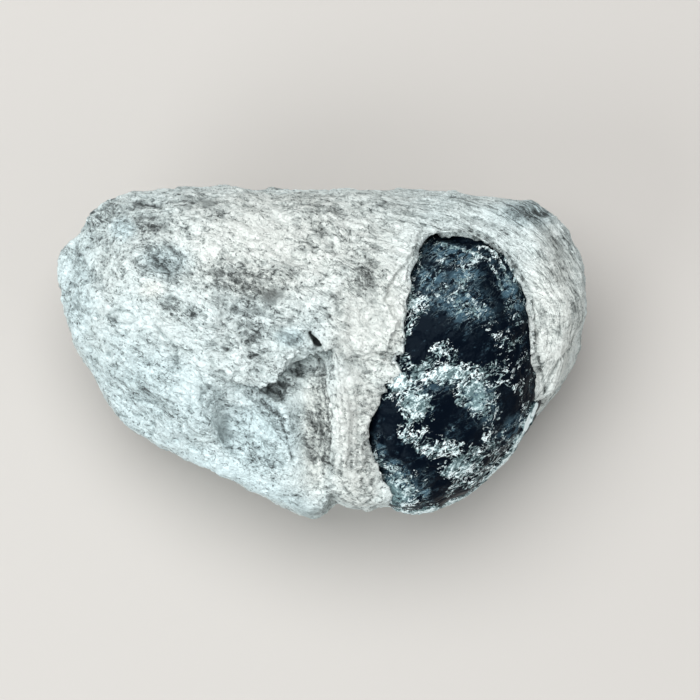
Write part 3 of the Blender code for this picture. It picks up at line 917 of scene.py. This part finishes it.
class Finish:
    """A material and the nodes that it is being made of."""

    def __init__(self, name):
        self.material = bpy.data.materials.new(name)
        self.material.use_nodes = True
        self.tree = self.material.node_tree
        self.shader = self.tree.nodes["Principled BSDF"]
        self.place = self.add("ShaderNodeTexCoord").outputs["Object"]

    def add(self, kind, **settings):
        node = self.tree.nodes.new(kind)
        for name, value in settings.items():
            setattr(node, name, value)
        return node

    def feed(self, socket, value):
        """Links a node's output to a socket, or sets the socket to a plain value."""
        if isinstance(value, bpy.types.NodeSocket):
            self.tree.links.new(value, socket)
        else:
            socket.default_value = value

    def mask(self, name, output="Fac"):
        return self.add("ShaderNodeAttribute", attribute_name=name).outputs[output]

    def times(self, first, second):
        return self.maths("MULTIPLY", first, second)

    def maths(self, operation, first, second=0.0, third=0.0):
        node = self.add("ShaderNodeMath", operation=operation)
        for socket, value in zip(node.inputs, (first, second, third)):
            self.feed(socket, value)
        return node.outputs["Value"]

    def noise(self, size, detail=3.0, roughness=0.6, place=None, twist=0.0):
        """Noise from 0 to 1, with bumps of a size in millimetres."""
        node = self.add("ShaderNodeTexNoise")
        self.feed(node.inputs["Vector"], place or self.place)
        node.inputs["Scale"].default_value = 1 / (size * MM)
        node.inputs["Detail"].default_value = detail
        node.inputs["Roughness"].default_value = roughness
        node.inputs["Distortion"].default_value = twist
        return node.outputs["Fac"]

    def threads(self, size, width, place=None, twist=0.0):
        """1 on thin winding lines between bumps of a size in millimetres, and 0 off them."""
        middle = self.maths("SUBTRACT", self.noise(size, place=place, twist=twist), 0.5)
        return self.between(self.maths("ABSOLUTE", middle), 0.3 * width, width, 1.0, 0.0)

    def weighed(self, terms, start=0.0):
        """The start and a list of (value, weight) terms, added up."""
        total = start
        for value, weight in terms:
            total = self.maths("MULTIPLY_ADD", value, weight, total)
        return total

    def turned(self, angle, sizes):
        """The object's coordinates turned about its upright, then stretched along each."""
        node = self.add("ShaderNodeVectorRotate", rotation_type="Z_AXIS")
        self.feed(node.inputs["Vector"], self.place)
        node.inputs["Angle"].default_value = angle
        return self.stretch(node.outputs["Vector"], sizes)

    def stretch(self, place, sizes):
        node = self.add("ShaderNodeVectorMath", operation="DIVIDE")
        self.feed(node.inputs[0], place)
        node.inputs[1].default_value = sizes
        return node.outputs["Vector"]

    def between(self, value, low, high, start=0.0, end=1.0):
        node = self.add("ShaderNodeMapRange", interpolation_type="SMOOTHSTEP")
        for socket, given in zip(node.inputs, (value, low, high, start, end)):
            self.feed(socket, given)
        return node.outputs["Result"]

    def shades(self, value, stops):
        """A colour from a list of (value, colour) stops."""
        node = self.add("ShaderNodeValToRGB")
        elements = node.color_ramp.elements
        while len(elements) < len(stops):
            elements.new(0.5)
        for element, (position, colour) in zip(elements, stops):
            element.position = position
            element.color = (*colour, 1)
        self.feed(node.inputs["Fac"], value)
        return node.outputs["Color"]

    def blend(self, share, first, second, kind="MIX"):
        node = self.add("ShaderNodeMix", data_type="RGBA", blend_type=kind)
        sockets = (node.inputs[0], node.inputs[6], node.inputs[7])
        for socket, value in zip(sockets, (share, first, second)):
            self.feed(socket, (*value, 1) if isinstance(value, tuple) else value)
        return node.outputs[2]

    def complete(self, colour, roughness, normal):
        sockets = self.shader.inputs
        self.feed(sockets["Base Color"], colour)
        self.feed(sockets["Roughness"], roughness)
        self.feed(sockets["Normal"], normal)
        return self.material

    def bump(self, height, depth):
        """A bump of a depth in millimetres."""
        node = self.add("ShaderNodeBump")
        self.feed(node.inputs["Height"], height)
        node.inputs["Strength"].default_value = 1.0
        node.inputs["Distance"].default_value = depth * MM
        return node.outputs["Normal"]


ROCK_SHADES = (
    (0.00, (0.040, 0.050, 0.050)),
    (0.25, (0.175, 0.205, 0.203)),
    (0.50, (0.360, 0.420, 0.417)),
    (0.75, (0.600, 0.682, 0.673)),
    (1.00, (0.800, 0.890, 0.878)),
)
# Cool and warm tints, partly the rock's own and partly painted tint of cool and warm light
COOL_TINT = (0.93, 1.0, 1.04)
WARM_TINT = (1.06, 1.0, 0.97)

# How the rock's grain and the crust's streaks are stretched, and the rock's streaks in the flow
GRAIN_STRETCH = (2.2, 1.0, 1.0)
STREAK_STRETCH = (1.9, 1.0, 1.0)
FLOW_STRETCH = (0.40 / MM, 6.0 / MM, 3.0 / MM)

# Depth of the finest relief, in millimetres
ROCK_BUMP = 0.50
NODULE_BUMP = 0.12


def rock_strands(finish, grained):
    """How dark and pale strands, crumbs and dots change the rock's tone."""
    crumbs = finish.between(finish.noise(0.7, twist=0.5), 0.57, 0.60)
    # The dark dots are partly dark grains and partly painted shade in tiny pits
    dots = finish.between(finish.noise(0.42, detail=1.0, roughness=0.5), 0.35, 0.31)
    return finish.weighed((
        (finish.threads(1.9, 0.012, grained, twist=1.0), -0.42),
        (finish.threads(2.1, 0.022, grained, twist=1.2), 0.30),
        (finish.threads(0.9, 0.022, twist=0.8), 0.20),
        (crumbs, 0.14),
        (dots, -0.42),
    ))


def rock_streaks(finish):
    """How streaks along the bands change the rock's tone."""
    flow = finish.stretch(finish.mask("flow", "Vector"), FLOW_STRETCH)
    return finish.weighed((
        (finish.noise(1.0, place=flow), 1.1),
        (finish.threads(1.2, 0.030, flow), 0.30),
        (finish.threads(1.6, 0.022, flow), -0.34),
    ), start=-0.55)


def perlite():
    finish = Finish("perlite")
    grained = finish.turned(GRAIN_TURN, GRAIN_STRETCH)
    grain = finish.noise(0.75, detail=6.0, roughness=0.70, place=grained, twist=0.5)
    blots = finish.noise(2.2, detail=6.0, roughness=0.62, place=grained, twist=1.2)
    specks = finish.noise(0.24, detail=2.0)
    strands = rock_strands(finish, grained)
    swings = ((grain, 2.0), (specks, 0.5), (finish.between(blots, 0.46, 0.54), 0.28))
    half = sum(weight for _, weight in swings) / 2
    tone = finish.maths("ADD", strands, finish.weighed(swings, start=-half))
    tone = finish.maths("MULTIPLY_ADD", tone, finish.mask("fine"), finish.mask("tone"))
    tone = finish.maths("MULTIPLY_ADD", rock_streaks(finish), finish.mask("bands"), tone)
    tint = finish.blend(finish.between(finish.mask("warmth_and_light_tint"), -0.9, 0.9), COOL_TINT, WARM_TINT)
    colour = finish.blend(1.0, finish.shades(tone, ROCK_SHADES), tint, "MULTIPLY")
    height = finish.weighed(((specks, 0.3), (strands, 0.5)), start=grain)
    rough = finish.between(tone, 0.0, 0.8, 0.55, 0.9)
    return finish.complete(colour, rough, finish.bump(height, ROCK_BUMP))


GLASS = (0.0010, 0.0025, 0.006)
# Blue of the haze, partly painted reflection of the sky on the glass
HAZE_AND_REFLECTION_BLUE = (0.066, 0.125, 0.165)
VEIL = (0.360, 0.500, 0.540)
VEIL_SHARE = 0.75
CRUST_SHADES = (
    (0.20, (0.070, 0.110, 0.115)),
    (0.50, (0.310, 0.418, 0.430)),
    (0.80, (0.780, 0.880, 0.890)),
)
BLUISH_CRUST = (0.210, 0.320, 0.340)
GLINT_LEVEL = 0.05
GLINT_TINT = (0.55, 0.80, 1.0)


def crust_web(finish, streaky):
    """1 on a web of wide and narrow threads, and 0 in its meshes."""
    narrow = finish.times(finish.threads(0.6, 0.045, streaky, twist=0.6), 0.85)
    return finish.maths("MAXIMUM", finish.threads(1.4, 0.050, streaky, twist=1.0), narrow)


def haze_and_reflection_share(finish, streaky):
    """How hazy the glass is, with painted reflection: in clouds where the mask is, and faint smears
    all over.
    """
    clouds = finish.noise(1.1, detail=8.0, roughness=0.80, place=streaky, twist=0.3)
    smears = finish.noise(1.3, detail=8.0, roughness=0.80, place=streaky, twist=0.2)
    cloudy = finish.times(finish.mask("haze_and_reflection"), finish.between(clouds, 0.47, 0.56))
    return finish.maths("MAXIMUM", cloudy, finish.between(smears, 0.55, 0.64, 0.0, 0.30))


def glass_colour(finish, streaky, haze_and_reflection):
    """Black glass, bluish with haze and painted reflection, with thin pale threads there."""
    threads = finish.threads(1.0, 0.015, streaky, twist=0.8)
    veil = finish.times(finish.times(threads, finish.mask("haze_and_reflection")), VEIL_SHARE)
    return finish.blend(veil, finish.blend(haze_and_reflection, GLASS, HAZE_AND_REFLECTION_BLUE), VEIL)


def crust_colour(finish, streaky, web, grit):
    """Grey to white crust, whiter where thick, and bluish where thin over haze and painted
    reflection.
    """
    blots = finish.noise(1.5, detail=4.0, roughness=0.65, place=streaky, twist=1.2)
    thick = finish.between(finish.mask("cover"), 0.95, 1.5)
    shade = finish.weighed((
        (grit, 1.8),
        (web, 0.35),
        (finish.between(blots, 0.38, 0.62), 0.62),
        (thick, 0.55),
    ), start=-0.09)
    thin = finish.between(thick, 0.0, 1.0, 0.55, 0.0)
    bluish = finish.times(finish.mask("haze_and_reflection"), thin)
    return finish.blend(bluish, finish.shades(shade, CRUST_SHADES), BLUISH_CRUST)


def obsidian():
    finish = Finish("obsidian")
    streaky = finish.turned(STREAK_TURN, STREAK_STRETCH)
    web = crust_web(finish, streaky)
    grit = finish.maths("SUBTRACT", finish.noise(0.40, detail=4.0, roughness=0.65), 0.5)
    pores = finish.between(finish.noise(0.7, twist=1.0), 0.55, 0.60)
    cover = finish.weighed(((web, 0.6), (pores, -0.42), (grit, 0.5)), start=finish.mask("cover"))
    crusted = finish.between(cover, 0.68, 0.78)
    haze_and_reflection = haze_and_reflection_share(finish, streaky)
    glass = glass_colour(finish, streaky, haze_and_reflection)
    colour = finish.blend(crusted, glass, crust_colour(finish, streaky, web, grit))
    glassy = finish.maths("MULTIPLY_ADD", haze_and_reflection, 0.25, 0.28)
    glassed = finish.maths("SUBTRACT", 1.0, crusted)
    ripples = finish.times(finish.noise(0.7, detail=2.0), glassed)
    height = finish.maths("MULTIPLY_ADD", crusted, finish.maths("ADD", grit, 1.1), ripples)
    rough = finish.between(crusted, 0.0, 1.0, glassy, 0.85)
    finish.shader.inputs["Specular IOR Level"].default_value = GLINT_LEVEL
    finish.shader.inputs["Specular Tint"].default_value = (*GLINT_TINT, 1)
    return finish.complete(colour, rough, finish.bump(height, NODULE_BUMP))


# The stage

FLOOR_HALF = 1.5
FLOOR_COLOUR = (0.49, 0.47, 0.445)
FLOOR_ROUGHNESS = 0.8
CAMERA_DISTANCE = 0.8
CAMERA_ELEVATION = math.radians(80)

# Lights: name, place, size across, watts and colour. The key is above and a little to the top left,
# a cool one is low on the left, and a weak one is low on the right
LIGHTS = (
    ("key", (-0.14, 0.20, 0.66), 0.75, 5.1, (1.0, 1.0, 1.0)),
    ("cool_side", (-0.50, -0.45, 0.40), 0.5, 3.0, (0.95, 0.99, 1.0)),
    ("fill", (0.50, -0.40, 0.35), 0.5, 0.9, (1.0, 1.0, 1.0)),
)
ROOM_COLOUR = (0.96, 0.98, 1.0)
ROOM_STRENGTH = 0.50


def make_floor():
    bpy.ops.mesh.primitive_plane_add(size=2 * FLOOR_HALF)
    floor = bpy.context.object
    floor.name = "floor"
    finish = Finish("floor")
    finish.shader.inputs["Base Color"].default_value = (*FLOOR_COLOUR, 1)
    finish.shader.inputs["Roughness"].default_value = FLOOR_ROUGHNESS
    floor.data.materials.append(finish.material)


def make_light(name, place, size, watts, colour):
    light = bpy.data.lights.new(name, "AREA")
    light.shape = "DISK"
    light.size = size
    light.energy = watts
    light.color = colour
    lamp = bpy.data.objects.new(name, light)
    lamp.location = place
    lamp.rotation_mode = "QUATERNION"
    lamp.rotation_quaternion = (-Vector(place)).to_track_quat("-Z", "Y")
    bpy.context.scene.collection.objects.link(lamp)


def make_room():
    world = bpy.data.worlds.new("studio")
    world.use_nodes = True
    background = world.node_tree.nodes["Background"]
    background.inputs["Color"].default_value = (*ROOM_COLOUR, 1)
    background.inputs["Strength"].default_value = ROOM_STRENGTH
    bpy.context.scene.world = world


def make_camera():
    """A long lens over the stone's face, with the photograph's frame around its middle."""
    camera = bpy.data.cameras.new("camera")
    wide = PHOTO_SIZE / PIXELS_PER_MM * MM
    camera.lens = camera.sensor_width * CAMERA_DISTANCE / wide
    camera.clip_end = 10
    right = (PHOTO_SIZE / 2 - MIDDLE_PIXEL[0]) / PIXELS_PER_MM * MM
    up = (MIDDLE_PIXEL[1] - PHOTO_SIZE / 2) / PIXELS_PER_MM * MM
    turned = Matrix.Rotation(math.pi / 2 - CAMERA_ELEVATION, 4, "X")
    back = Matrix.Translation((right, up, CAMERA_DISTANCE))
    seat = bpy.data.objects.new("camera", camera)
    seat.matrix_world = Matrix.Translation(MIDDLE) @ turned @ back
    bpy.context.scene.collection.objects.link(seat)
    bpy.context.scene.camera = seat


def place_piece(piece, material, node):
    piece.data.materials.append(material)
    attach(piece, "root")
    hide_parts(node)
    piece.data.calc_loop_triangles()
    print(piece.name, "has", len(piece.data.loop_triangles), "triangles")


def main():
    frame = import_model()
    bpy.context.scene.view_settings.view_transform = "Standard"
    make_camera()
    for light in LIGHTS:
        make_light(*light)
    make_room()
    make_floor()
    nodes = frame["nodes"]
    place_piece(make_rock(nodes["perlite_matrix"]), perlite(), "perlite_matrix")
    place_piece(make_nodule(nodes["obsidian_nodule"]), obsidian(), "obsidian_nodule")


main()
